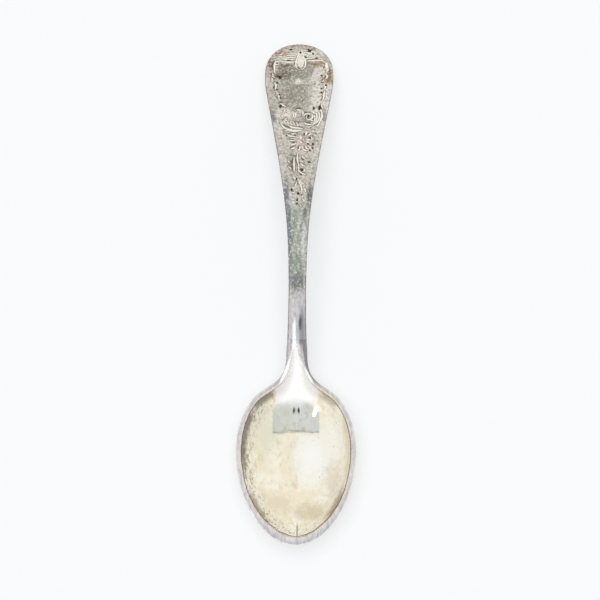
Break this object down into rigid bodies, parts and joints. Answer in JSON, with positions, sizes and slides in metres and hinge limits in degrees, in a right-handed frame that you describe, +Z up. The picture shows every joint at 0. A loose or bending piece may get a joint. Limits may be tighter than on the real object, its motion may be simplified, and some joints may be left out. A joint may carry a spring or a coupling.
{
  "type": "souvenir spoon",
  "caption": "Small table spoon: egg-shaped bowl, gilt inside, soldered to a slim stem that arches and widens to a flat, rounded, engraved handle end.",
  "frame": {"origin": "centre of the spoon's footprint, on the table it rests on", "axes": "+Y along the spoon from the bowl to the handle's end, +Z up out of the bowl, +X to the right seen from above with the handle away"},
  "size_m": [0.0316, 0.14, 0.0153],
  "materials": {
    "handle_silver": "polished silver, tarnished",
    "bowl_silver": "polished silver, lightly tarnished",
    "gold_wash": "pale gold wash, worn and mottled",
    "silver_solder": "dull silver solder"
  },
  "bodies": {
    "root": {"handle": "handle_silver", "bowl": "bowl_silver", "gilt_lining": "gold_wash", "solder_joint": "silver_solder"}
  },
  "joints": []
}
